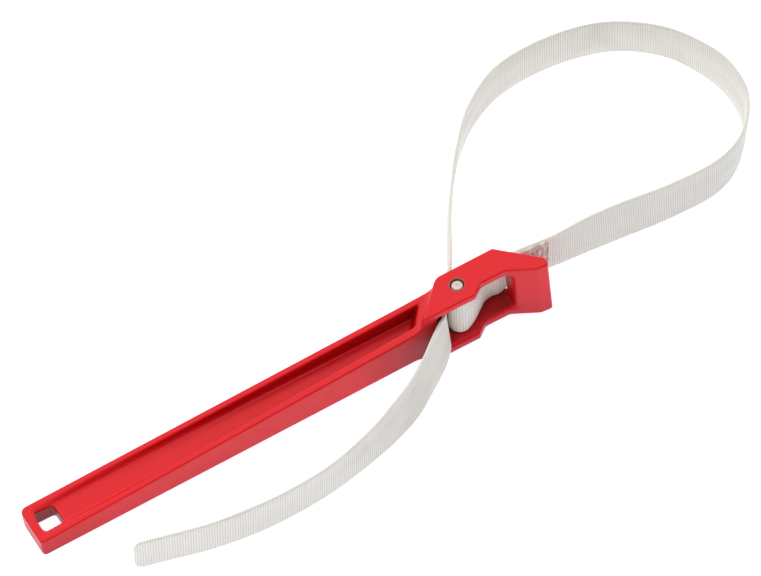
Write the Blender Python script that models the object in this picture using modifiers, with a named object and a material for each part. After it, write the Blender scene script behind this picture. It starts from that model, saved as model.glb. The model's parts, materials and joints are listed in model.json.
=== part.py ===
"""Strap filter wrench: one cast handle with a forked head, a cross pin, and a
nylon strap sewn round the pin, which makes one loop and leaves the head as a
free tail.

Metres, +Z up, the wrench lying on the surface z = 0.  The casting is drawn in
its own coordinates (origin on the pin's axis at mid thickness, +X towards the
nose, +Z along the pin) and tipped by TIP so that it lies on its handle's end
and on the lower edge of its head.  The strap stands on edge round it.
"""
import math

import bmesh
import bpy
import numpy as np
from mathutils import Vector

MM = 0.001

# ---- driving dimensions, millimetres -------------------------------------
END_X = -253.9          # plain end of the handle
END_HALF_W, END_T = 12.3, 12.1
NECK_X = -25.0          # handle just before the head
NECK_HALF_W, NECK_T = 10.0, 23.0
HEAD_T = 40.3           # over both cheeks
CHEEK_T = 5.6           # each cheek
CHANNEL_X = -249.8      # channel's plain end
WEB_END_T, WEB_NECK_T = 9.2, 5.4
HOLE_X0, HOLE_X1, HOLE_HALF_W = -249.2, -237.6, 6.4
THROAT_ANGLE = 51.0     # direction of the throat wall
WALL_OFFSET = 11.0      # throat wall from the pin's axis
CREST_ANGLE = 46.0      # direction of the head's raised edge
CREST_OFFSET = 12.0     # that edge from the pin's axis
PIN_D, PIN_HOLE_D, PIN_SINK = 6.4, 7.5, 0.5
STRAP_W, STRAP_T = 27.0, 1.8
EYE_R = 5.5             # middle of the strap round the pin
LAYER_GAP = 0.3
CUT_AT = (-16.2, -12.8)  # where the two strap nodes meet, just outside the throat
THREAD_D = 0.7

TIP = math.atan((HEAD_T / 2 - END_T / 2) / (-26.2 - END_X))
PIN_POINT = Vector((103.2, 0.95, 21.75)) * MM      # pin's middle, wrench lying

U = Vector((math.cos(math.radians(THROAT_ANGLE)), math.sin(math.radians(THROAT_ANGLE))))
N = Vector((-U.y, U.x))                            # from the pin to the throat wall

# ---- start clean ----------------------------------------------------------
for ob in list(bpy.data.objects):
    bpy.data.objects.remove(ob, do_unlink=True)

parts = bpy.data.collections.new("strap_filter_wrench")
cutters = bpy.data.collections.new("cutters")
for col in (parts, cutters):
    bpy.context.scene.collection.children.link(col)


def material(name, colour, roughness, metallic):
    mat = bpy.data.materials.new(name)
    mat.use_nodes = True
    bsdf = mat.node_tree.nodes["Principled BSDF"]
    bsdf.inputs["Base Color"].default_value = (*colour, 1.0)
    bsdf.inputs["Roughness"].default_value = roughness
    bsdf.inputs["Metallic"].default_value = metallic
    return mat


RED = material("red_paint", (0.78, 0.035, 0.045), 0.32, 0.0)
STEEL = material("pin_steel", (0.72, 0.68, 0.60), 0.35, 0.9)
NYLON = material("nylon_webbing", (0.80, 0.79, 0.76), 0.75, 0.0)
THREAD = material("sewing_thread", (0.42, 0.20, 0.15), 0.70, 0.0)


def rounded(corners, steps=5):
    """Outline from (x, y, radius) corners, each corner an arc."""
    out = []
    n = len(corners)
    for i, (x, y, r) in enumerate(corners):
        p = Vector((x, y))
        a = Vector(corners[i - 1][:2])
        b = Vector(corners[(i + 1) % n][:2])
        if r <= 0:
            out.append(p)
            continue
        da, db = (a - p).normalized(), (b - p).normalized()
        half = da.angle(db) / 2
        cut = r / math.tan(half)
        mid = p + (da + db).normalized() * (r / math.sin(half))
        s, e = p + da * cut - mid, p + db * cut - mid
        turn = s.angle_signed(e)
        for k in range(steps + 1):
            t = -turn * k / steps
            out.append(mid + Vector((s.x * math.cos(t) - s.y * math.sin(t),
                                     s.x * math.sin(t) + s.y * math.cos(t))))
    return out


def prism(name, outline, half, z=0.0):
    """Flat outline in X and Y, thickened by half on each side of z."""
    cu = bpy.data.curves.new(name, "CURVE")
    cu.dimensions = "2D"
    cu.fill_mode = "BOTH"
    cu.extrude = half * MM
    sp = cu.splines.new("POLY")
    sp.points.add(len(outline) - 1)
    for pt, co in zip(sp.points, outline):
        pt.co = (co[0] * MM, co[1] * MM, 0.0, 1.0)
    sp.use_cyclic_u = True
    ob = bpy.data.objects.new(name + "_curve", cu)
    cutters.objects.link(ob)
    ob.location.z = z * MM
    bpy.context.view_layer.update()
    deps = bpy.context.evaluated_depsgraph_get()
    me = bpy.data.meshes.new_from_object(ob.evaluated_get(deps))
    bm = bmesh.new()
    bm.from_mesh(me)
    bmesh.ops.remove_doubles(bm, verts=bm.verts, dist=1e-6)
    bmesh.ops.dissolve_limit(bm, angle_limit=math.radians(0.5), verts=bm.verts, edges=bm.edges)
    bmesh.ops.recalc_face_normals(bm, faces=bm.faces)
    bm.transform(ob.matrix_world)
    bm.to_mesh(me)
    bm.free()
    bpy.data.objects.remove(ob, do_unlink=True)
    me.name = name
    new = bpy.data.objects.new(name, me)
    cutters.objects.link(new)
    return new


def loft_box(name, sections):
    """Box through rectangles (x, half width low y, high y, low z, high z)."""
    bm = bmesh.new()
    rings = []
    for x, y0, y1, z0, z1 in sections:
        rings.append([bm.verts.new((x * MM, y * MM, z * MM))
                      for y, z in ((y0, z0), (y1, z0), (y1, z1), (y0, z1))])
    for a, b in zip(rings, rings[1:]):
        for k in range(4):
            bm.faces.new((a[k], a[(k + 1) % 4], b[(k + 1) % 4], b[k]))
    bm.faces.new(rings[0])
    bm.faces.new(rings[-1][::-1])
    bmesh.ops.recalc_face_normals(bm, faces=bm.faces)
    me = bpy.data.meshes.new(name)
    bm.to_mesh(me)
    bm.free()
    ob = bpy.data.objects.new(name, me)
    cutters.objects.link(ob)
    return ob


def bevel(ob, width, segments, pick=None, angle=30.0):
    """Round edges now, on the mesh itself; pick(edge) chooses them."""
    bm = bmesh.new()
    bm.from_mesh(ob.data)
    edges = [e for e in bm.edges if len(e.link_faces) == 2
             and e.calc_face_angle(0.0) > math.radians(angle)
             and (pick is None or pick(e))]
    bmesh.ops.bevel(bm, geom=edges, offset=width * MM, segments=segments,
                    profile=0.5, affect="EDGES", clamp_overlap=True)
    bm.to_mesh(ob.data)
    bm.free()


def upright(e):
    d = e.verts[1].co - e.verts[0].co
    return abs(d.z) > 0.9 * d.length


def level(e):
    d = e.verts[1].co - e.verts[0].co
    return abs(d.z) < 0.1 * d.length


def combine(ob, other, operation):
    mod = ob.modifiers.new(operation.lower() + "_" + other.name, "BOOLEAN")
    mod.operation = operation
    mod.solver = "EXACT"
    mod.object = other
    other.hide_render = True
    other.display_type = "WIRE"
    return mod


def taper(x, at_end, at_neck):
    return at_end + (at_neck - at_end) * (x - END_X) / (NECK_X - END_X)


# ---- casting: handle ------------------------------------------------------
axis = bpy.data.objects.new("pin_axis", None)
axis.location = PIN_POINT
axis.rotation_euler = (0.0, -TIP, 0.0)
parts.objects.link(axis)

JOIN_X = -12.0
handle = loft_box("handle_casting", [
    (x, -taper(x, END_HALF_W, NECK_HALF_W), taper(x, END_HALF_W, NECK_HALF_W),
     -taper(x, END_T, NECK_T) / 2, taper(x, END_T, NECK_T) / 2)
    for x in (END_X, JOIN_X)])
bevel(handle, 3.0, 4, lambda e: upright(e) and e.verts[0].co.x < END_X * MM * 0.9)
bevel(handle, 0.9, 2, lambda e: not upright(e) and not all(v.co.x > JOIN_X * MM - 1e-4 for v in e.verts))

# ---- casting: head outline, both cheeks and the nose in one block ----------
HEAD = [
    (-21.5, -9.9, 2.0), (4.6, -10.7, 1.6), (10.5, -6.0, 4.0), (25.2, -6.3, 5.0),
    (39.4, -14.4, 4.0), (47.2, -15.1, 1.8), (47.5, -10.2, 2.6), (26.9, 9.7, 2.0),
    (-6.4, 10.0, 3.0),
]
head = prism("head", rounded(HEAD), HEAD_T / 2)
bevel(head, 0.8, 2, level)

# Shoulder between handle and head: thick block, hollowed above and below by
# a rounded step.
side = [(-37.0, -9.95), (2.0, -10.05), (2.0, 9.6), (-22.0, 9.85)]
shoulder = prism("shoulder", side, HEAD_T / 2 - 0.05)


def step_cutter(name, sign):
    """Bar along the raised edge whose lower side is the rounded step."""
    u = Vector((math.cos(math.radians(CREST_ANGLE)), math.sin(math.radians(CREST_ANGLE))))
    n_dir = Vector((-u.y, u.x))
    z_neck = NECK_T / 2
    arc = 5.6
    prof = [(CREST_OFFSET, HEAD_T / 2 + 6.0), (CREST_OFFSET, HEAD_T / 2)]
    prof += [(CREST_OFFSET + 0.7, z_neck + arc)]
    for k in range(1, 7):
        a = math.pi / 2 * k / 6
        prof.append((CREST_OFFSET + 0.7 + arc * (1 - math.cos(a)),
                     z_neck + arc * (1 - math.sin(a)) - 0.4 * (k / 6)))
    prof += [(CREST_OFFSET + 21.0, z_neck - 1.0), (CREST_OFFSET + 21.0, HEAD_T / 2 + 6.0)]
    bm = bmesh.new()
    rings = []
    for t in (-45.0, 45.0):
        rings.append([bm.verts.new(((n_dir.x * n + u.x * t) * MM, (n_dir.y * n + u.y * t) * MM, sign * z * MM))
                      for n, z in prof])
    k = len(prof)
    for i in range(k):
        bm.faces.new((rings[0][i], rings[0][(i + 1) % k], rings[1][(i + 1) % k], rings[1][i]))
    bm.faces.new(rings[0])
    bm.faces.new(rings[1][::-1])
    bmesh.ops.recalc_face_normals(bm, faces=bm.faces)
    me = bpy.data.meshes.new(name)
    bm.to_mesh(me)
    bm.free()
    ob = bpy.data.objects.new(name, me)
    cutters.objects.link(ob)
    return ob


combine(shoulder, step_cutter("step_top", 1), "DIFFERENCE")
combine(shoulder, step_cutter("step_bottom", -1), "DIFFERENCE")

# ---- casting: channels, one in each broad face ----------------------------

def channel(sign):
    """Tapered pocket whose wide corner rounds tighten towards the head."""
    name = "channel_top" if sign > 0 else "channel_bottom"
    bm = bmesh.new()
    plan = rounded([(CHANNEL_X, -8.9, 2.6), (-28.7, -5.0, 1.2), (-19.9, 5.6, 1.2), (CHANNEL_X, 8.9, 2.6)], 4)
    cx = sum(p.x for p in plan) / len(plan)
    rings = []
    for deg in (0.0, 30.0, 60.0, 90.0, None):
        ring = []
        for p in plan:
            u = min(1.0, max(0.0, (NECK_X - p.x) / (NECK_X - END_X)))
            r = 0.8 + 3.8 * u ** 1.3
            if deg is None:
                grow, lift = 1.5, 30.0
            else:
                a = math.radians(deg)
                grow, lift = -r * (1 - math.sin(a)), r * (1 - math.cos(a))
            x = p.x + (1 if p.x > cx else -1) * grow
            y = p.y + (1 if p.y > 0 else -1) * grow
            web = taper(x, WEB_END_T, WEB_NECK_T)
            ring.append(bm.verts.new((x * MM, y * MM, sign * (web / 2 + lift) * MM)))
        rings.append(ring)
    k = len(rings[0])
    for a, b in zip(rings, rings[1:]):
        for i in range(k):
            bm.faces.new((a[i], a[(i + 1) % k], b[(i + 1) % k], b[i]))
    bm.faces.new(rings[0])
    bm.faces.new(rings[-1][::-1])
    bmesh.ops.recalc_face_normals(bm, faces=bm.faces)
    bmesh.ops.triangulate(bm, faces=[f for f in bm.faces if len(f.verts) > 4])
    me = bpy.data.meshes.new(name)
    bm.to_mesh(me)
    bm.free()
    ob = bpy.data.objects.new(name, me)
    cutters.objects.link(ob)
    return ob


# ---- casting: throat and window between the cheeks --------------------------
def wall_point(t):
    return N * WALL_OFFSET + U * t


w_high = wall_point(12.0)
WINDOW = [
    (-18.3, -11.0, 1.6), (-26.0, -12.5, 0.0), (-26.0, -24.0, 0.0), (27.6, -24.0, 0.0),
    (28.7, -9.0, 0.0), (28.9, 3.0, 1.4), (50.0, -9.4, 0.0), (60.0, 0.0, 0.0),
    (40.0, 24.0, 0.0), (w_high.x, w_high.y, 0.0), (-10.8, 4.0, 4.0),
]
window = prism("window", rounded(WINDOW), HEAD_T / 2 - CHEEK_T)
bevel(window, 0.7, 2, level)

hole = prism("hang_hole", rounded([
    (HOLE_X0, -HOLE_HALF_W, 2.0), (HOLE_X1, -HOLE_HALF_W + 0.4, 2.0),
    (HOLE_X1, HOLE_HALF_W - 0.4, 2.0), (HOLE_X0, HOLE_HALF_W, 2.0)], 4), 12.0)


def cylinder(name, d, depth, segments, bevel_w=0.0):
    bm = bmesh.new()
    bmesh.ops.create_cone(bm, cap_ends=True, segments=segments, radius1=d / 2 * MM,
                          radius2=d / 2 * MM, depth=depth * MM)
    me = bpy.data.meshes.new(name)
    bm.to_mesh(me)
    bm.free()
    ob = bpy.data.objects.new(name, me)
    cutters.objects.link(ob)
    if bevel_w:
        bevel(ob, bevel_w, 3, level)
    return ob


pin_hole = cylinder("pin_hole", PIN_HOLE_D, HEAD_T + 4.0, 32)

combine(handle, shoulder, "UNION")
combine(handle, head, "UNION")
combine(handle, channel(1), "DIFFERENCE")
combine(handle, channel(-1), "DIFFERENCE")
combine(handle, window, "DIFFERENCE")
combine(handle, hole, "DIFFERENCE")
combine(handle, pin_hole, "DIFFERENCE")
for ob in list(cutters.objects):
    ob.parent = axis
cutters.objects.unlink(handle)
parts.objects.link(handle)
handle.data.materials.append(RED)

# ---- cross pin -------------------------------------------------------------
pin = cylinder("pivot_pin", PIN_D, HEAD_T - 2 * PIN_SINK, 32, 0.7)
cutters.objects.unlink(pin)
parts.objects.link(pin)
pin.parent = axis
pin.data.materials.append(STEEL)

# ---- strap -------------------------------------------------------------------
# Points round the pin, seen from above with the wrench lying: x, y, and how
# far the upper edge leans to the left of the run's direction.
LOOP = [
    (30.5, 7.6, -1.8), (36.0, 7.3, -2.2), (50.0, 6.75, -1.4), (62.0, 6.5, -0.8), (82.0, 7.5, 1.5),
    (103.0, 7.4, 2.2),
    (132.0, 6.3, 1.3), (166.0, 9.0, 0.2), (184.5, 19.0, -2.0), (200.0, 39.5, -1.8),
    (203.0, 62.0, -1.5), (199.0, 79.0, -0.3), (188.5, 99.3, 1.7), (169.5, 116.3, 2.2),
    (150.0, 124.3, 1.2), (122.0, 127.6, 0.8), (94.0, 123.7, 0.5), (68.5, 108.3, 1.7),
    (48.5, 87.0, 2.5), (31.3, 63.3, 2.4), (19.5, 44.5, 1.7), (5.4, 19.4, 1.3),
]
THROAT = [(-1.5, 11.5, 0.9), (-7.5, 4.2, 0.4), (-10.1, -1.5, -0.5)]
TAIL = [
    (-13.2, -9.3, -2.4), (-18.0, -13.9, -4.4), (-24.4, -19.3, -5.0),
    (-35.5, -27.8, -4.1), (-48.3, -36.3, -4.0), (-63.0, -43.0, -3.0), (-79.0, -48.7, -0.6),
    (-106.8, -55.3, 2.0), (-130.3, -57.3, 2.6), (-155.0, -56.8, 2.8), (-179.0, -53.8, 3.6),
    (-200.0, -48.8, 4.1), (-217.1, -44.6, 4.0),
]


def smooth(points, step):
    """Points every step along a centripetal Catmull-Rom curve."""
    p = np.array(points, float)
    p = np.vstack([2 * p[0] - p[1], p, 2 * p[-1] - p[-2]])
    fine = []
    for i in range(1, len(p) - 2):
        q = p[i - 1:i + 3]
        t = [0.0]
        for a, b in zip(q, q[1:]):
            t.append(t[-1] + np.linalg.norm((b - a)[:2]) ** 0.5)
        u = np.linspace(t[1], t[2], 40, endpoint=False)[:, None]
        a1 = (t[1] - u) / (t[1] - t[0]) * q[0] + (u - t[0]) / (t[1] - t[0]) * q[1]
        a2 = (t[2] - u) / (t[2] - t[1]) * q[1] + (u - t[1]) / (t[2] - t[1]) * q[2]
        a3 = (t[3] - u) / (t[3] - t[2]) * q[2] + (u - t[2]) / (t[3] - t[2]) * q[3]
        b1 = (t[2] - u) / (t[2] - t[0]) * a1 + (u - t[0]) / (t[2] - t[0]) * a2
        b2 = (t[3] - u) / (t[3] - t[1]) * a2 + (u - t[1]) / (t[3] - t[1]) * a3
        fine.append((t[2] - u) / (t[2] - t[1]) * b1 + (u - t[1]) / (t[2] - t[1]) * b2)
    fine = np.vstack(fine + [p[-2][None]])
    s = np.concatenate([[0.0], np.cumsum(np.linalg.norm(np.diff(fine[:, :2], axis=0), axis=1))])
    n = max(2, int(round(s[-1] / step)))
    at = np.linspace(0.0, s[-1], n + 1)
    return np.column_stack([np.interp(at, s, fine[:, k]) for k in range(3)])


def edge_height(x, y):
    """Lower edge of the strap: between the cheeks, then down to the surface."""
    d = math.hypot(x, y) - 34.0
    head_z = 7.7 + 0.06 * min(max(x, -20.0), 40.0)
    if d < 0:
        return head_z
    return 0.3 + (head_z - 0.3) * max(1.0 - d / 126.0, 0.0) ** 1.3


def ribbon(name, plan, mat):
    """Webbing on edge along plan: a ribbon, thickened."""
    plan = np.asarray(plan)
    tang = np.gradient(plan[:, :2], axis=0)
    tang /= np.linalg.norm(tang, axis=1)[:, None]
    left = np.column_stack([-tang[:, 1], tang[:, 0]])
    bm = bmesh.new()
    low, high = [], []
    for (x, y, lean), n in zip(plan, left):
        z = edge_height(x, y)
        for row, k in ((low, -0.5), (high, 0.5)):
            px, py = x + n[0] * lean * k, y + n[1] * lean * k
            row.append(bm.verts.new((px * MM, py * MM, (z + (STRAP_W if k > 0 else 0.0)) * MM - PIN_POINT.z)))
    for i in range(len(low) - 1):
        bm.faces.new((low[i], low[i + 1], high[i + 1], high[i]))
    me = bpy.data.meshes.new(name)
    bm.to_mesh(me)
    bm.free()
    ob = bpy.data.objects.new(name, me)
    ob.location = PIN_POINT
    parts.objects.link(ob)
    solid = ob.modifiers.new("webbing", "SOLIDIFY")
    solid.thickness = STRAP_T * MM
    solid.offset = 0.0
    solid.use_even_offset = True
    ob.data.materials.append(mat)
    return ob


def eye_plan():
    """Sewn end, back along the run, round the pin and out again."""
    run = smooth(LOOP[:5], 2.0)
    tang = np.gradient(run[:, :2], axis=0)
    tang /= np.linalg.norm(tang, axis=1)[:, None]
    left = np.column_stack([-tang[:, 1], tang[:, 0]])
    off = STRAP_T + LAYER_GAP
    near = run.copy()
    near[:, :2] -= left * off
    keep = near[(near[:, 0] < 57.0) & (near[:, 0] > 31.0)][::-1]
    pts = [(x, y, -lean) for x, y, lean in keep[::3]]
    pts += [(26.4, 5.2, 1.6), (22.0, 5.6, 1.5), (17.5, 4.5, 1.2), (14.4, 2.5, 1.0), (10.6, -0.2, 0.8),
            (6.9, -2.7, 0.5), (3.4, -4.5, 0.3)]
    for deg in (-85.0, -110.0, -135.0, -160.0, 170.0, 140.0, 110.0, 85.0):
        a = math.radians(deg)
        pts.append((EYE_R * math.cos(a), EYE_R * math.sin(a), 0.0))
    pts += [(6.0, 6.6, -0.5), (13.0, 7.7, -1.0), (21.0, 8.1, -1.4)]
    return pts


route = smooth(eye_plan() + LOOP + THROAT + TAIL, 3.0)
i_cut = min(range(len(route) // 2, len(route)),
            key=lambda i: math.hypot(route[i][0] - CUT_AT[0], route[i][1] - CUT_AT[1]))
loop_plan = route[:i_cut + 1]
tail_plan = route[i_cut:].copy()
d = tail_plan[1, :2] - tail_plan[0, :2]
tail_plan[0, :2] += d / np.linalg.norm(d) * 0.35

strap_loop = ribbon("strap_loop", loop_plan, NYLON)
strap_tail = ribbon("strap_tail", tail_plan, NYLON)

# ---- stitching on the sewn overlap -----------------------------------------
run = smooth(LOOP[:5], 0.5)
tang = np.gradient(run[:, :2], axis=0)
tang /= np.linalg.norm(tang, axis=1)[:, None]
left = np.column_stack([-tang[:, 1], tang[:, 0]])
face = STRAP_T * 1.5 + LAYER_GAP + 0.3 + THREAD_D / 2
points = []
cols = 7
for c in range(cols):
    x_at = 38.0 + c * 2.9
    j = int(np.argmin(abs(run[:, 0] - x_at)))
    ends = (3.5, STRAP_W - 3.5)
    for h in (ends if c % 2 == 0 else ends[::-1]):
        lean = run[j, 2] * (h / STRAP_W - 0.5)
        p = run[j, :2] + left[j] * (lean - face)
        z = edge_height(run[j, 0], run[j, 1]) + h
        points.append((p[0] * MM, p[1] * MM, z * MM - PIN_POINT.z))
cu = bpy.data.curves.new("eye_stitching", "CURVE")
cu.dimensions = "3D"
cu.bevel_depth = THREAD_D / 2 * MM
cu.bevel_resolution = 1
cu.use_fill_caps = True
sp = cu.splines.new("POLY")
sp.points.add(len(points) - 1)
for pt, co in zip(sp.points, points):
    pt.co = (*co, 1.0)
stitch = bpy.data.objects.new("eye_stitching", cu)
stitch.location = PIN_POINT
parts.objects.link(stitch)
stitch.data.materials.append(THREAD)
weld = stitch.modifiers.new("weld", "WELD")
weld.merge_threshold = 1e-6

bpy.context.view_layer.update()
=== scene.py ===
"""Strap filter wrench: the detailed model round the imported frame.

The casting is one signed distance field, so every corner and edge has a cast
radius.  The strap is swept along its solids' route, with real ribs; the eye's near
strand stands up to 0.7 mm off that route.  Lengths in the tables are millimetres;
"tool" means the casting's own axes, with the origin on the pin, +X to the nose and
+Z along the pin.
"""
import json
import math

import bpy
import numpy as np
from mathutils import Matrix, Vector


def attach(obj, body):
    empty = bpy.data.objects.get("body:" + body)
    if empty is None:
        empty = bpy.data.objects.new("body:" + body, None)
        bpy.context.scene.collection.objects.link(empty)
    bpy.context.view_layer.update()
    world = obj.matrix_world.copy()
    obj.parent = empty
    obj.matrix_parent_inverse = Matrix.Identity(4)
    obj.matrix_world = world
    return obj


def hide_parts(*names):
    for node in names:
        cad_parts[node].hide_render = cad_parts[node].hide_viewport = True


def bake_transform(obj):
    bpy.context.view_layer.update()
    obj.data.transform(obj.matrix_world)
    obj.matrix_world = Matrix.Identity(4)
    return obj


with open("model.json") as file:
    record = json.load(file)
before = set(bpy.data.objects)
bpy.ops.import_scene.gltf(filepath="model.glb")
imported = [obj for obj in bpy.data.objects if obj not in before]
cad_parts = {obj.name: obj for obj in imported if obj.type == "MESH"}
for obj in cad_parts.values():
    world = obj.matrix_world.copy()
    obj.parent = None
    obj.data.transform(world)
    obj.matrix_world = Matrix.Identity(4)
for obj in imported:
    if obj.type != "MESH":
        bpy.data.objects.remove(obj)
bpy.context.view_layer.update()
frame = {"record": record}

MM = 0.001
JOINTS = {j["name"]: j for j in frame["record"]["behaviour"]["joints"]}
PIN_POINT = Vector(JOINTS["eye_swivel"]["pos_m"])
PIN_AXIS = Vector(JOINTS["eye_swivel"]["axis"])
TIP = math.atan2(-PIN_AXIS.x, PIN_AXIS.z)
TOOL = Matrix.Translation(PIN_POINT) @ Matrix.Rotation(-TIP, 4, "Y") @ Matrix.Scale(MM, 4)

# ---- casting, in tool millimetres -------------------------------------------
END_X, NECK_X = -253.9, -25.0
END_HALF_W = 12.3
END_T, NECK_T = 12.1, 23.0
HEAD_T, CHEEK_T = 40.3, 5.6
WEB_END_T, WEB_NECK_T = 9.2, 5.4
THROAT_ANGLE, WALL_OFFSET = math.radians(51.0), 11.0
CREST_ANGLE, CREST_OFFSET = math.radians(46.0), 12.2
FLARE_R = 6.0
POCKET_X, POCKET_END, POCKET_ANGLE = -249.8, 19.3, math.radians(51.5)
POCKET_DRAFT, POCKET_END_DRAFT = 0.05, 0.42
EDGE_R, RIM_R, SHOULDER_R, POCKET_END_R = 0.95, 1.1, 3.3, 1.0
HOLE_EDGE_R, BORE_EDGE_R = 0.6, 0.35
PIN_D, PIN_HOLE_D, PIN_SUNK = 6.4, 7.5, 0.5

OUTLINE = [
    (END_X, -END_HALF_W, 2.2), (-25.0, -10.2, 0.0), (4.6, -10.8, 1.6), (10.5, -6.1, 4.0),
    (25.2, -6.4, 5.0), (39.4, -14.5, 3.2), (46.4, -15.3, 1.6), (46.9, -10.3, 2.6),
    (26.9, 9.8, 1.8), (-12.0, 10.05, 0.0), (-30.0, 10.0, 0.0), (END_X, END_HALF_W, 3.6),
]
WALL = (math.cos(THROAT_ANGLE), math.sin(THROAT_ANGLE))
WINDOW = [
    (-18.3, -11.0, 1.6), (-26.0, -12.5, 0.0), (-26.0, -24.0, 0.0), (27.6, -24.0, 0.0),
    (28.7, -9.0, 0.0), (28.9, 3.65, 1.4), (50.0, -9.4, 0.0), (60.0, 0.0, 0.0), (40.0, 24.0, 0.0),
    (-WALL[1] * WALL_OFFSET + WALL[0] * 12.0, WALL[0] * WALL_OFFSET + WALL[1] * 12.0, 0.0),
    (-10.8, 4.0, 4.0),
]
POCKET = [(POCKET_X, -8.9, 2.6), (-140.0, -7.1, 0.0), (-10.0, -4.3, 0.0), (-10.0, 5.4, 0.0),
          (-140.0, 7.1, 0.0), (POCKET_X, 8.9, 2.6)]
HOLE = [(-249.2, -6.4, 2.0), (-237.6, -6.0, 2.0), (-237.6, 6.0, 2.0), (-249.2, 6.4, 2.0)]


def rounded(corners, steps=7):
    """Outline from (x, y, radius) corners, each corner an arc."""
    out = []
    for i, (x, y, r) in enumerate(corners):
        p = Vector((x, y))
        if r <= 0:
            out.append(p)
            continue
        da = (Vector(corners[i - 1][:2]) - p).normalized()
        db = (Vector(corners[(i + 1) % len(corners)][:2]) - p).normalized()
        half = da.angle(db) / 2
        mid = p + (da + db).normalized() * (r / math.sin(half))
        s, e = p + da * (r / math.tan(half)) - mid, p + db * (r / math.tan(half)) - mid
        turn = -s.angle_signed(e)
        for k in range(steps + 1):
            c, d = math.cos(turn * k / steps), math.sin(turn * k / steps)
            out.append(mid + Vector((s.x * c - s.y * d, s.x * d + s.y * c)))
    return np.array(out)


OUTLINE, WINDOW, POCKET, HOLE = (rounded(o) for o in (OUTLINE, WINDOW, POCKET, HOLE))


def outline_distance(x, y, outline):
    """Signed distance in the plane to a closed outline, negative inside."""
    x, y = np.broadcast_arrays(x, y)
    best, inside = np.full(x.shape, np.inf), np.zeros(x.shape, bool)
    for (ax, ay), (bx, by) in zip(outline, np.roll(outline, -1, axis=0)):
        ex, ey, px, py = bx - ax, by - ay, x - ax, y - ay
        t = np.clip((px * ex + py * ey) / (ex * ex + ey * ey), 0.0, 1.0)
        best = np.minimum(best, (px - ex * t) ** 2 + (py - ey * t) ** 2)
        if ay != by:
            inside ^= ((ay > y) != (by > y)) & (px < ex * (y - ay) / ey)
    return np.where(inside, -1.0, 1.0) * np.sqrt(best)


def both(a, b, r):
    """Intersection whose edge has radius r."""
    return np.minimum(-r, np.maximum(a, b)) + np.hypot(np.maximum(r + a, 0), np.maximum(r + b, 0))


def either(a, b, r):
    """Union whose inner corner has fillet radius r."""
    return -both(-a, -b, r)


def ramp(v, low, high):
    t = np.clip((v - low) / (high - low), 0.0, 1.0)
    return t * t * (3.0 - 2.0 * t)


def along_handle(x, at_end, at_neck):
    return at_end + (at_neck - at_end) * (x - END_X) / (NECK_X - END_X)


def casting(x, y, z):
    """Signed distance to the casting, both broad faces alike."""
    h = np.abs(z)
    side = outline_distance(x, y, OUTLINE)
    n = -math.sin(CREST_ANGLE) * x + math.cos(CREST_ANGLE) * y
    top = h - along_handle(x, END_T, NECK_T) / 2
    shoulder = both(n - CREST_OFFSET, side - 1.0, SHOULDER_R)
    solid = both(either(top, shoulder, FLARE_R), h - HEAD_T / 2, EDGE_R)
    solid = both(side, solid, EDGE_R)
    floor = along_handle(x, WEB_END_T, WEB_NECK_T) / 2
    pocket = outline_distance(x, y, POCKET) - POCKET_DRAFT * (h - floor)
    slant = -math.sin(POCKET_ANGLE) * x + math.cos(POCKET_ANGLE) * y
    end = (POCKET_END - POCKET_END_DRAFT * top - slant) / math.hypot(1.0, POCKET_END_DRAFT)
    cove = 0.8 + 3.8 * np.clip((NECK_X - x) / (NECK_X - END_X), 0.0, 1.0) ** 1.3
    pocket = both(both(pocket, end, POCKET_END_R), floor - h, cove)
    solid = both(solid, -pocket, RIM_R)
    fillet = 0.7 + 2.1 * ramp(x, 16.0, 26.0)
    window = both(outline_distance(x, y, WINDOW), h - (HEAD_T / 2 - CHEEK_T), fillet)
    solid = both(solid, -window, 0.6 + 1.9 * ramp(-y, 3.0, 7.0))
    solid = both(solid, -outline_distance(x, y, HOLE), HOLE_EDGE_R)
    return both(solid, PIN_HOLE_D / 2 - np.hypot(x, y), BORE_EDGE_R)


def steps(*spans):
    """Grid lines from (start, end, spacing) spans that follow one another."""
    parts = [np.linspace(a, b, max(2, round((b - a) / d) + 1))[:-1] for a, b, d in spans]
    return np.append(np.concatenate(parts), spans[-1][1])


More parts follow.
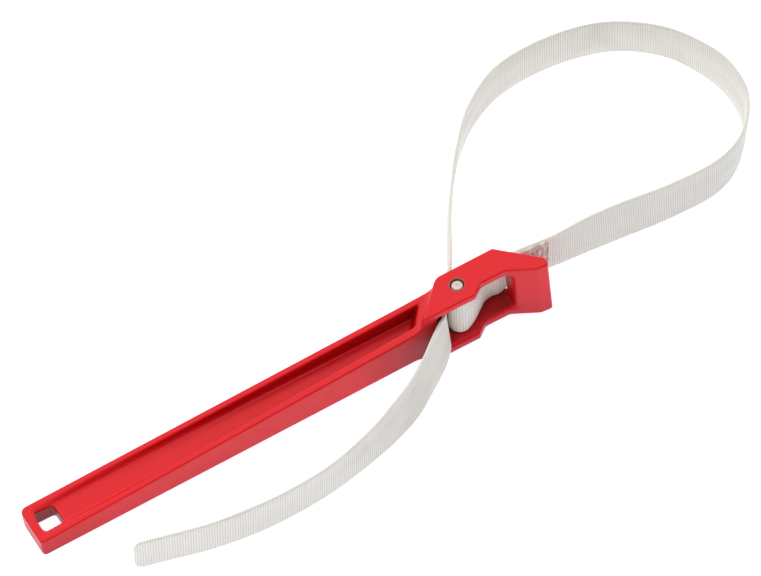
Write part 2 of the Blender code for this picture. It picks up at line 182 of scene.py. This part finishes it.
def surface_net(field, xs, ys, zs):
    """Vertices and outward quads on the zero level of field over a grid."""
    f = field(xs[:, None, None], ys[None, :, None], zs[None, None, :])
    inside = f < 0
    lines = (xs, ys, zs)
    corner = [np.array(((c >> 2) & 1, (c >> 1) & 1, c & 1)) for c in range(8)]
    count = sum(inside[c[0]:f.shape[0] - 1 + c[0], c[1]:f.shape[1] - 1 + c[1],
                       c[2]:f.shape[2] - 1 + c[2]].astype(np.int8) for c in corner)
    active = (count > 0) & (count < 8)
    number = np.full(active.shape, -1)
    number[active] = np.arange(active.sum())
    cell = np.argwhere(active)
    total, hits = np.zeros((len(cell), 3)), np.zeros(len(cell))
    for a in range(8):
        for bit in (1, 2, 4):
            b = a | bit
            if a == b:
                continue
            ia, ib = cell + corner[a], cell + corner[b]
            fa, fb = f[tuple(ia.T)], f[tuple(ib.T)]
            cross = (fa < 0) != (fb < 0)
            t = np.where(cross, fa / np.where(cross, fa - fb, 1.0), 0.0)[:, None]
            pa = np.column_stack([lines[k][ia[:, k]] for k in range(3)])
            pb = np.column_stack([lines[k][ib[:, k]] for k in range(3)])
            total += np.where(cross[:, None], pa + (pb - pa) * t, 0.0)
            hits += cross
    verts = total / hits[:, None]
    quads = []
    for ax in range(3):
        u, v = (ax + 1) % 3, (ax + 2) % 3
        low = [slice(1, -1)] * 3
        high = [slice(1, -1)] * 3
        low[ax], high[ax] = slice(0, -1), slice(1, None)
        a, b = inside[tuple(low)], inside[tuple(high)]
        at = np.argwhere(a != b)
        out = a[tuple(at.T)]
        base = at + 1
        base[:, ax] -= 1
        ring = []
        for du, dv in ((-1, -1), (0, -1), (0, 0), (-1, 0)):
            k = base.copy()
            k[:, u] += du
            k[:, v] += dv
            ring.append(number[tuple(k.T)])
        ring = np.column_stack(ring)
        ring[~out] = ring[~out][:, ::-1]
        quads.append(ring)
    return verts, np.vstack(quads)


def gradient(field, p, h=0.04):
    g = np.empty_like(p)
    for k in range(3):
        d = np.zeros(3)
        d[k] = h
        g[:, k] = (field(*(p + d).T) - field(*(p - d).T)) / (2 * h)
    return g


def new_object(name, verts, faces, matrix=None):
    me = bpy.data.meshes.new(name)
    me.from_pydata([tuple(v) for v in verts], [], [tuple(int(i) for i in f) for f in faces])
    if matrix is not None:
        me.transform(matrix)
    me.polygons.foreach_set("use_smooth", np.ones(len(me.polygons), bool))
    me.update()
    ob = bpy.data.objects.new(name, me)
    bpy.context.scene.collection.objects.link(ob)
    return ob


def build_casting():
    xs = steps((-256.0, -235.0, 0.55), (-235.0, -42.0, 1.6), (-42.0, 49.4, 0.58))
    ys = steps((-16.8, 14.4, 0.34))
    zs = steps((-21.6, 21.6, 0.5))
    verts, quads = surface_net(casting, xs, ys, zs)
    for _ in range(3):
        g = gradient(casting, verts)
        g2 = np.maximum((g ** 2).sum(1), 0.2)
        move = -(casting(*verts.T) / g2)[:, None] * g
        size = np.linalg.norm(move, axis=1, keepdims=True)
        verts = verts + move * np.minimum(1.0, 0.35 / np.maximum(size, 1e-9))
    normals = gradient(casting, verts, 0.12)
    normals /= np.maximum(np.linalg.norm(normals, axis=1, keepdims=True), 1e-9)
    ob = new_object("casting_painted", verts, quads, TOOL)
    bare = ramp(PIN_HOLE_D / 2 + 0.55 - np.hypot(verts[:, 0], verts[:, 1]), 0.0, 0.45)
    ob.data.attributes.new("bare", "FLOAT", "POINT").data.foreach_set("value", bare.astype(np.float32))
    turn = np.array(Matrix.Rotation(-TIP, 3, "Y"))
    ob.data.normals_split_custom_set_from_vertices([tuple(v) for v in normals @ turn.T])
    return ob


def build_pin():
    """Turned pin with a small chamfer, a domed end and a centre mark."""
    r, half = PIN_D / 2, HEAD_T / 2 - PIN_SUNK
    end = [(0.0, half - 0.42), (0.35, half - 0.30), (0.62, half - 0.08), (1.0, half - 0.03),
           (1.9, half - 0.06), (r - 0.55, half - 0.16), (r - 0.3, half - 0.26),
           (r - 0.08, half - 0.5), (r, half - 0.8)]
    prof = end + [(a, -b) for a, b in reversed(end)]
    seg = 64
    verts = [(0.0, 0.0, prof[0][1])]
    for a, b in prof[1:-1]:
        verts += [(a * math.cos(2 * math.pi * k / seg), a * math.sin(2 * math.pi * k / seg), b)
                  for k in range(seg)]
    verts.append((0.0, 0.0, prof[-1][1]))
    last = len(verts) - 1
    faces = []
    rows = len(prof) - 2
    for k in range(seg):
        j = (k + 1) % seg
        faces.append((0, 1 + k, 1 + j))
        for i in range(rows - 1):
            a, b = 1 + i * seg, 1 + (i + 1) * seg
            faces.append((a + k, b + k, b + j, a + j))
        faces.append((last, 1 + (rows - 1) * seg + j, 1 + (rows - 1) * seg + k))
    return new_object("pin_turned", verts, faces, TOOL)


# ---- strap --------------------------------------------------------------------
STRAP_W, STRAP_T, EYE_R = 27.0, 1.8, 5.5
LAYER_GAP = -0.1                    # the sewn layers press together; the solids stand 0.3 apart
RIB_PITCH, RIB_DEPTH, WARP_PITCH, TAIL_ROUND = 1.4, 0.2, 1.5, 5.0
HEAD_LOW, HEAD_RISE, FLOOR_LOW = 7.7, 0.06, 0.3
HEAD_REACH, SINK_LENGTH = 34.0, 126.0
CUT_AT = (-16.64, -12.74)           # where the loop's solid ends and the tail's begins
LOOP = [
    (30.5, 7.6, -1.8), (36.0, 7.3, -2.2), (50.0, 6.75, -1.4), (62.0, 6.5, -0.8), (82.0, 7.5, 1.5),
    (103.0, 7.4, 2.2),
    (132.0, 6.3, 1.3), (166.0, 9.0, 0.2), (184.5, 19.0, -2.0), (200.0, 39.5, -1.8),
    (203.0, 62.0, -1.5), (199.0, 79.0, -0.3), (188.5, 99.3, 1.7), (169.5, 116.3, 2.2),
    (150.0, 124.3, 1.2), (122.0, 127.6, 0.8), (94.0, 123.7, 0.5), (68.5, 108.3, 1.7),
    (48.5, 87.0, 2.5), (31.3, 63.3, 2.4), (19.5, 44.5, 1.7), (5.4, 19.4, 1.3),
]
THROAT = [(-1.5, 11.5, 0.9), (-7.5, 4.2, 0.4), (-10.1, -1.5, -0.5)]
TAIL = [
    (-13.2, -9.3, -2.4), (-18.0, -13.9, -4.4), (-24.4, -19.3, -5.0),
    (-35.5, -27.8, -4.1), (-48.3, -36.3, -4.0), (-63.0, -43.0, -3.0), (-79.0, -48.7, -0.6),
    (-106.8, -55.3, 2.0), (-130.3, -57.3, 2.6), (-155.0, -56.8, 2.8), (-179.0, -53.8, 3.6),
    (-200.0, -48.8, 4.1), (-217.1, -44.6, 4.0),
]


def smooth(points, step):
    """Points every step along a centripetal Catmull-Rom curve, with their lean."""
    p = np.array(points, float)
    p = np.vstack([2 * p[0] - p[1], p, 2 * p[-1] - p[-2]])
    fine = []
    for i in range(1, len(p) - 2):
        q = p[i - 1:i + 3]
        t = [0.0]
        for a, b in zip(q, q[1:]):
            t.append(t[-1] + np.linalg.norm((b - a)[:2]) ** 0.5)
        u = np.linspace(t[1], t[2], 160, endpoint=False)[:, None]

        def mix(a, b, lo, hi):
            return (hi - u) / (hi - lo) * a + (u - lo) / (hi - lo) * b
        a1, a2, a3 = (mix(q[k], q[k + 1], t[k], t[k + 1]) for k in range(3))
        fine.append(mix(mix(a1, a2, t[0], t[2]), mix(a2, a3, t[1], t[3]), t[1], t[2]))
    fine = np.vstack(fine + [p[-2][None]])
    s = np.concatenate([[0.0], np.cumsum(np.linalg.norm(np.diff(fine[:, :2], axis=0), axis=1))])
    at = np.linspace(0.0, s[-1], max(2, round(s[-1] / step)) + 1)
    return at, np.column_stack([np.interp(at, s, fine[:, k]) for k in range(3)])


def leftwards(plan):
    tang = np.gradient(plan[:, :2], axis=0)
    tang /= np.linalg.norm(tang, axis=1)[:, None]
    return np.column_stack([-tang[:, 1], tang[:, 0]])


def edge_height(plan):
    """Lower edge of the strap: between the cheeks, then down to the floor."""
    d = np.hypot(plan[:, 0], plan[:, 1]) - HEAD_REACH
    head = HEAD_LOW + HEAD_RISE * np.clip(plan[:, 0], -20.0, 40.0)
    sunk = FLOOR_LOW + (head - FLOOR_LOW) * np.clip(1.0 - d / SINK_LENGTH, 0.0, 1.0) ** 1.3
    return np.where(d < 0, head, sunk)


def eye_plan():
    """Sewn end, back along the run, round the pin and out again."""
    _, run = smooth(LOOP[:5], 2.0)
    near = run.copy()
    near[:, :2] -= leftwards(run) * (STRAP_T + LAYER_GAP)
    keep = near[(near[:, 0] < 57.0) & (near[:, 0] > 31.0)][::-1]
    pts = [(x, y, -lean) for x, y, lean in keep[::3]]
    # the first two points are 0.7 and 0.4 mm nearer the window's wall than the solid's
    pts += [(26.4, 4.5, 1.6), (22.0, 5.2, 1.5), (17.5, 4.5, 1.2), (14.4, 2.5, 1.0), (10.6, -0.2, 0.8),
            (6.9, -2.7, 0.5), (3.4, -4.5, 0.3)]
    for deg in (-85.0, -110.0, -135.0, -160.0, 170.0, 140.0, 110.0, 85.0):
        a = math.radians(deg)
        pts.append((EYE_R * math.cos(a), EYE_R * math.sin(a), 0.0))
    return pts + [(6.0, 6.6, -0.5), (13.0, 7.7, -1.0), (21.0, 8.1, -1.4)]


RING_STEP = 0.2
S, ROUTE = smooth(eye_plan() + LOOP + THROAT + TAIL, RING_STEP)
LEFT = leftwards(ROUTE)
LOW = edge_height(ROUTE)
TOTAL = float(S[-1])


def route_frame(i):
    """Middle, across and outward directions of the strap at ring i, in metres."""
    mid = np.column_stack([ROUTE[i, :2], LOW[i] + STRAP_W / 2]) * MM + [PIN_POINT.x, PIN_POINT.y, 0.0]
    across = np.column_stack([LEFT[i] * ROUTE[i, 2:3], np.full(len(i), STRAP_W)])
    slope = np.gradient(LOW)[i] / RING_STEP
    tang = np.column_stack([LEFT[i, 1], -LEFT[i, 0], slope])
    out = np.cross(across, tang)
    out /= np.linalg.norm(out, axis=1)[:, None]
    return mid, across * MM, out


def ripple(s, t):
    """Slow unevenness of hand-beaten ribs, the same each run."""
    return (0.16 * np.sin(0.43 * t + 0.031 * s) + 0.12 * np.sin(0.19 * t - 0.083 * s + 1.3)
            + 0.07 * np.sin(1.1 * t + 0.21 * s + 0.4))


def build_webbing(name, first, last):
    i = np.flatnonzero((S >= first - 1e-6) & (S <= last + 1e-6))
    mid, across, out = route_frame(i)
    edge = STRAP_T / 2
    rim_in, rim_half = np.array([0.0, 0.12, 0.4, 0.8]), edge * np.array([0.55, 0.8, 0.95, 1.0])
    middle = np.linspace(1.3, STRAP_W - 1.3, 17)
    t = np.concatenate([rim_in, middle, STRAP_W - rim_in[::-1]]) - STRAP_W / 2
    half = np.concatenate([rim_half, np.full(len(middle), edge), rim_half[::-1]])
    s = S[i][:, None]
    phase = (s + ripple(s, t[None, :]) * 0.7) / RIB_PITCH
    crown = np.abs(np.cos(math.pi * phase)) ** 0.65
    selvedge = ramp(STRAP_W / 2 - np.abs(t), 0.7, 1.9)[None, :]
    warp = 0.03 * np.cos(2 * math.pi * t / WARP_PITCH)[None, :] * crown
    depth = RIB_DEPTH * (1.0 - crown) * (0.35 + 0.65 * selvedge) + 0.03 - warp
    depth = np.minimum(depth, half[None, :] * 0.6)
    left = np.clip(TAIL_ROUND - (TOTAL - S[i]), 0.0, TAIL_ROUND)
    narrow = 1.0 - 2.0 * (TAIL_ROUND - np.sqrt(TAIL_ROUND ** 2 - left ** 2))[:, None] / STRAP_W
    rows = []
    for sign in (1.0, -1.0):
        off = (half[None, :] - depth) * sign * MM
        rows.append(mid[:, None, :] + across[:, None, :] * (narrow * t[None, :] / STRAP_W)[:, :, None]
                    + out[:, None, :] * off[:, :, None])
    ring = np.concatenate([rows[0], rows[1][:, ::-1]], axis=1)
    m, n = ring.shape[:2]
    cols = len(t)
    a = np.arange(m - 1)[:, None] * n + np.arange(n)[None, :]
    b = np.arange(m - 1)[:, None] * n + (np.arange(n)[None, :] + 1) % n
    quads = np.stack([a, b, b + n, a + n], axis=-1).reshape(-1, 4)
    caps = []
    for base, flip in ((0, True), ((m - 1) * n, False)):
        for c in range(cols - 1):
            q = [base + c, base + c + 1, base + n - 2 - c, base + n - 1 - c]
            caps.append(q[::-1] if flip else q)
    ob = new_object(name, ring.reshape(-1, 3), np.vstack([quads, caps]))
    along = np.repeat(S[i], n)
    over = np.tile(np.concatenate([t, t[::-1]]), m)
    for key, values in (("along", along), ("over", over)):
        ob.data.attributes.new(key, "FLOAT", "POINT").data.foreach_set("value", values.astype(np.float32))
    return ob


def build_stitches():
    """Lock stitches in upright rows on both faces of the eye's sewn overlap."""
    verts, faces = [], []
    sides, bends = 8, 9
    length, radius = 2.5, 0.2
    main = [float(S[int(np.argmin(np.abs(ROUTE[:, 0] - x) + np.where(S < 60.0, 1e6, 0.0)
                                  + np.where(S > 200.0, 1e6, 0.0)))]) for x in np.arange(38.0, 56.0, 2.9)]
    rows = [(s, side) for s in main for side in (-1.0, 1.0)]
    for r, (s0, side) in enumerate(rows):
        i = np.array([int(np.argmin(np.abs(S - s0)))])
        mid, across, out = (v[0] for v in route_frame(i))
        tang = np.cross(out, across / np.linalg.norm(across))
        face = STRAP_T / 2 if side > 0 else -(STRAP_T * 1.5 + LAYER_GAP)
        up = across / np.linalg.norm(across)
        for k in range(7):
            low = -10.3 + k * 3.0 + 0.25 * math.sin(2.1 * r + k)
            drift = 0.18 * math.sin(1.7 * k + r)
            line = []
            for b in range(bends):
                f = b / (bends - 1)
                lift = side * (0.16 * math.sin(math.pi * f) ** 0.5 - 0.30 * (abs(2 * f - 1) ** 6))
                line.append(mid + (up * (low + f * length) + out * (face + lift)
                                   + tang * (drift + 0.25 * f)) * MM)
            base = len(verts)
            for p in line:
                for q in range(sides):
                    a = 2 * math.pi * q / sides
                    verts.append(p + (tang * math.cos(a) + out * math.sin(a) * 0.8) * radius * MM)
            for b in range(bends - 1):
                for q in range(sides):
                    j = (q + 1) % sides
                    faces.append((base + b * sides + q, base + b * sides + j,
                                  base + (b + 1) * sides + j, base + (b + 1) * sides + q))
            faces.append(tuple(base + q for q in range(sides))[::-1])
            faces.append(tuple(base + (bends - 1) * sides + q for q in range(sides)))
    return new_object("eye_lock_stitches", verts, faces)


# ---- materials -----------------------------------------------------------------
def shader(name, **values):
    """A node material with the Principled sockets set, and a helper to add nodes."""
    mat = bpy.data.materials.new(name)
    mat.use_nodes = True
    tree = mat.node_tree
    bsdf = tree.nodes["Principled BSDF"]
    for key, value in values.items():
        bsdf.inputs[key.replace("_", " ")].default_value = value

    def add(kind, links=(), **props):
        node = tree.nodes.new(kind)
        for key, value in props.items():
            setattr(node, key, value)
        for socket, value in links:
            if isinstance(value, bpy.types.NodeSocket):
                tree.links.new(value, node.inputs[socket])
            else:
                node.inputs[socket].default_value = value
        return node
    return mat, bsdf, tree, add


def blend_colour(add, factor, a, b):
    node = add("ShaderNodeMix", data_type="RGBA", blend_type="MIX")
    tree = node.id_data
    for key, value in ((0, factor), (6, a), (7, b)):
        if isinstance(value, bpy.types.NodeSocket):
            tree.links.new(value, node.inputs[key])
        else:
            node.inputs[key].default_value = value
    return node.outputs[2]


def math_node(add, operation, a, b=0.0):
    return add("ShaderNodeMath", [(0, a), (1, b)], operation=operation).outputs[0]


def band(add, value, low, high):
    return add("ShaderNodeMapRange", [(0, value), (1, low), (2, high), (3, 0.0), (4, 1.0)],
               interpolation_type="SMOOTHSTEP").outputs[0]


def red_paint():
    """Glossy red with a faint unevenness, and painted shade that darkens it in recesses; the pin's bore is
    bare metal.
    """
    mat, bsdf, tree, add = shader("red_paint", IOR=1.36)
    where = add("ShaderNodeTexCoord").outputs["Object"]
    bare = add("ShaderNodeAttribute", attribute_name="bare").outputs["Fac"]
    cloud = add("ShaderNodeTexNoise", [("Vector", where), ("Scale", 38.0), ("Detail", 2.0)]).outputs[0]
    swell = add("ShaderNodeTexNoise", [("Vector", where), ("Scale", 90.0), ("Detail", 0.0)]).outputs[0]
    colour = blend_colour(add, cloud, (0.79, 0.004, 0.010, 1), (0.85, 0.006, 0.014, 1))
    # painted shade: where ambient occlusion finds recesses the red is darkened towards near black
    open_sky = add("ShaderNodeAmbientOcclusion", [("Distance", 0.03)], samples=8).outputs["AO"]
    painted_recess_shade = math_node(add, "SUBTRACT", 1.0, math_node(add, "POWER", open_sky, 0.65))
    colour = blend_colour(add, painted_recess_shade, colour, (0.12, 0.001, 0.002, 1))
    colour = blend_colour(add, bare, colour, (0.30, 0.19, 0.15, 1))
    tree.links.new(colour, bsdf.inputs["Base Color"])
    rough = add("ShaderNodeMapRange", [(0, swell), (1, 0.3), (2, 0.7), (3, 0.30), (4, 0.38)])
    tree.links.new(rough.outputs[0], bsdf.inputs["Roughness"])
    bump = add("ShaderNodeBump", [("Height", swell), ("Strength", 0.25), ("Distance", 0.0006)])
    tree.links.new(bump.outputs[0], bsdf.inputs["Normal"])
    return mat


def pin_steel():
    mat, bsdf, tree, add = shader("pin_steel", Metallic=0.7)
    where = add("ShaderNodeTexCoord").outputs["Object"]
    spot = add("ShaderNodeTexNoise", [("Vector", where), ("Scale", 700.0), ("Detail", 4.0)]).outputs[0]
    cloud = add("ShaderNodeTexNoise", [("Vector", where), ("Scale", 260.0), ("Detail", 2.0)]).outputs[0]
    colour = blend_colour(add, cloud, (0.56, 0.44, 0.40, 1), (0.70, 0.59, 0.55, 1))
    colour = blend_colour(add, band(add, spot, 0.56, 0.70), colour, (0.55, 0.49, 0.40, 1))
    tree.links.new(colour, bsdf.inputs["Base Color"])
    rough = add("ShaderNodeMapRange", [(0, spot), (1, 0.3), (2, 0.7), (3, 0.30), (4, 0.52)])
    tree.links.new(rough.outputs[0], bsdf.inputs["Roughness"])
    bump = add("ShaderNodeBump", [("Height", spot), ("Strength", 0.25), ("Distance", 0.0002)])
    tree.links.new(bump.outputs[0], bsdf.inputs["Normal"])
    return mat


def thread():
    mat, bsdf, tree, add = shader("thread", Roughness=0.62, Sheen_Weight=0.2)
    where = add("ShaderNodeTexCoord").outputs["Object"]
    ply = add("ShaderNodeTexWave", [("Vector", where), ("Scale", 900.0), ("Distortion", 1.5)],
              bands_direction="DIAGONAL").outputs[0]
    colour = blend_colour(add, ply, (0.46, 0.26, 0.20, 1), (0.66, 0.46, 0.38, 1))
    tree.links.new(colour, bsdf.inputs["Base Color"])
    bump = add("ShaderNodeBump", [("Height", ply), ("Strength", 0.4), ("Distance", 0.0001)])
    tree.links.new(bump.outputs[0], bsdf.inputs["Normal"])
    return mat


def webbing_cloth():
    """Off-white ribbed webbing: painted shade in the rib grooves, warp yarns, soft dirt and fibre grain."""
    mat, bsdf, tree, add = shader("webbing_cloth", Roughness=0.86, Sheen_Weight=0.25, Sheen_Roughness=0.5,
                                  Specular_IOR_Level=0.25)
    along = add("ShaderNodeAttribute", attribute_name="along").outputs["Fac"]
    over = add("ShaderNodeAttribute", attribute_name="over").outputs["Fac"]
    where = add("ShaderNodeTexCoord").outputs["Object"]
    place = add("ShaderNodeCombineXYZ", [(0, along), (1, over)]).outputs[0]
    wander = add("ShaderNodeTexNoise", [("Vector", place), ("Scale", 0.22), ("Detail", 2.0)]).outputs[0]
    phase = math_node(add, "MULTIPLY", along, math.pi / RIB_PITCH)
    crown = math_node(add, "ABSOLUTE", math_node(add, "COSINE", phase))
    painted_groove_shade = band(add, crown, 0.62, 0.10)
    turns = math_node(add, "MULTIPLY", over, math.pi / (WARP_PITCH / 2))
    yarn = math_node(add, "ABSOLUTE", math_node(add, "SINE", turns))
    stretch = add("ShaderNodeVectorMath", [(0, place), (1, (0.7, 5.0, 1.0))], operation="MULTIPLY").outputs[0]
    fibre = add("ShaderNodeTexNoise", [("Vector", stretch), ("Scale", 1.6), ("Detail", 4.0)]).outputs[0]
    dirt = add("ShaderNodeTexNoise", [("Vector", where), ("Scale", 24.0), ("Detail", 4.0)]).outputs[0]
    colour = blend_colour(add, fibre, (0.89, 0.872, 0.78, 1), (0.96, 0.946, 0.86, 1))
    # painted shade: the rib grooves are darkened towards grey-brown
    colour = blend_colour(add, math_node(add, "MULTIPLY", painted_groove_shade, 0.55), colour, (0.50, 0.46, 0.41, 1))
    colour = blend_colour(add, math_node(add, "MULTIPLY", band(add, yarn, 0.45, 0.05), 0.12), colour,
                          (0.45, 0.41, 0.36, 1))
    colour = blend_colour(add, math_node(add, "MULTIPLY", band(add, dirt, 0.52, 0.75), 0.35), colour,
                          (0.62, 0.57, 0.50, 1))
    sewn = math_node(add, "MULTIPLY", band(add, along, 22.0, 18.0), band(add, wander, 0.35, 0.62))
    colour = blend_colour(add, math_node(add, "MULTIPLY", sewn, 0.6), colour, (0.50, 0.30, 0.22, 1))
    tree.links.new(colour, bsdf.inputs["Base Color"])
    height = math_node(add, "ADD", math_node(add, "MULTIPLY", yarn, 0.5),
                       math_node(add, "MULTIPLY", fibre, 0.8))
    bump = add("ShaderNodeBump", [("Height", height), ("Strength", 0.5), ("Distance", 0.00012)])
    tree.links.new(bump.outputs[0], bsdf.inputs["Normal"])
    return mat


# ---- pieces ----------------------------------------------------------------------
def nearest_s(x, y, after=0.0):
    d = np.hypot(ROUTE[:, 0] - x, ROUTE[:, 1] - y) + np.where(S < after, 1e6, 0.0)
    return float(S[int(np.argmin(d))])


S_EXIT = nearest_s(*CUT_AT, 400.0)
CLOTH = webbing_cloth()

body = build_casting()
body.data.materials.append(red_paint())
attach(body, "handle")
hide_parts("handle_casting")

pin = build_pin()
pin.data.materials.append(pin_steel())
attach(pin, "handle")
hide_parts("pivot_pin")

loop = build_webbing("strap_eye_and_loop", 0.0, S_EXIT)
tail = build_webbing("strap_free_tail", S_EXIT, TOTAL)
for piece in (loop, tail):
    piece.data.materials.append(CLOTH)

stitches = build_stitches()
stitches.data.materials.append(thread())
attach(stitches, "strap")
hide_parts("eye_stitching")


def at(s):
    i = np.array([int(np.argmin(np.abs(S - s)))])
    return Vector(route_frame(i)[0][0])


def centreline(first, last, step=3.0):
    return [tuple(at(s)) for s in np.arange(first, last, step)] + [tuple(at(last))]


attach(loop, "strap")
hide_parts("strap_loop")
at(S_EXIT)
at(S_EXIT + 110.0)
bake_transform(tail)
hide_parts("strap_tail")
at(nearest_s(46.0, 6.9, 100.0))
centreline(0.0, S_EXIT)
at(S_EXIT)
centreline(S_EXIT, TOTAL)

# ---- floor, light and camera --------------------------------------------------------
scene = bpy.context.scene
SKY_LOW, SKY_HIGH = 0.10, 1.38      # radiance of the dark near side and of the bright far side
SKY_WAY = (0.25, 0.6, 0.76)         # towards the bright part of the sky
FLOOR_HALF, FLOOR_Z, FLOOR_GLOW = 6.0, -0.0002, 1.02
floor = new_object("floor", [(x * FLOOR_HALF, y * FLOOR_HALF, FLOOR_Z)
                             for x, y in ((-1, -1), (1, -1), (1, 1), (-1, 1))], [(0, 1, 2, 3)])
mat, bsdf, tree, add = shader("floor_white", Roughness=0.9, Specular_IOR_Level=0.1)
bsdf.inputs["Base Color"].default_value = (0.40, 0.40, 0.40, 1)
bsdf.inputs["Emission Color"].default_value = (0.88, 0.88, 0.98, 1)
bsdf.inputs["Emission Strength"].default_value = FLOOR_GLOW
floor.data.materials.append(mat)

world = bpy.data.worlds.new("studio")
world.use_nodes = True
tree = world.node_tree
way = tree.nodes.new("ShaderNodeTexCoord").outputs["Generated"]
dot = tree.nodes.new("ShaderNodeVectorMath")
dot.operation = "DOT_PRODUCT"
dot.inputs[1].default_value = SKY_WAY
tree.links.new(way, dot.inputs[0])
grade = tree.nodes.new("ShaderNodeMapRange")
grade.interpolation_type = "SMOOTHSTEP"
for key, value in ((1, 0.2), (2, 0.62), (3, SKY_LOW), (4, SKY_HIGH)):
    grade.inputs[key].default_value = value
tree.links.new(dot.outputs["Value"], grade.inputs[0])
tree.links.new(grade.outputs[0], tree.nodes["Background"].inputs[1])
tree.nodes["Background"].inputs[0].default_value = (1, 1, 1, 1)
scene.world = world


def soft_light(name, place, aim, size, power):
    data = bpy.data.lights.new(name, "AREA")
    data.shape, data.size, data.energy = "DISK", size, power
    ob = bpy.data.objects.new(name, data)
    ob.location = place
    ob.rotation_euler = (Vector(aim) - Vector(place)).to_track_quat("-Z", "Y").to_euler()
    scene.collection.objects.link(ob)


soft_light("low_left", (-0.75, -0.75, 0.3), (0.0, 0.0, 0.0), 1.0, 2.2)

cam = bpy.data.cameras.new("camera")
cam.sensor_width, cam.lens, cam.clip_start, cam.clip_end = 36.0, 261.32, 0.05, 50.0
camera = bpy.data.objects.new("camera", cam)
camera.location = (-0.7158, -1.4932, 2.334)
camera.rotation_euler = [math.radians(a) for a in (36.574, 1.898, -29.919)]
scene.collection.objects.link(camera)
scene.camera = camera
scene.view_settings.view_transform = "Standard"
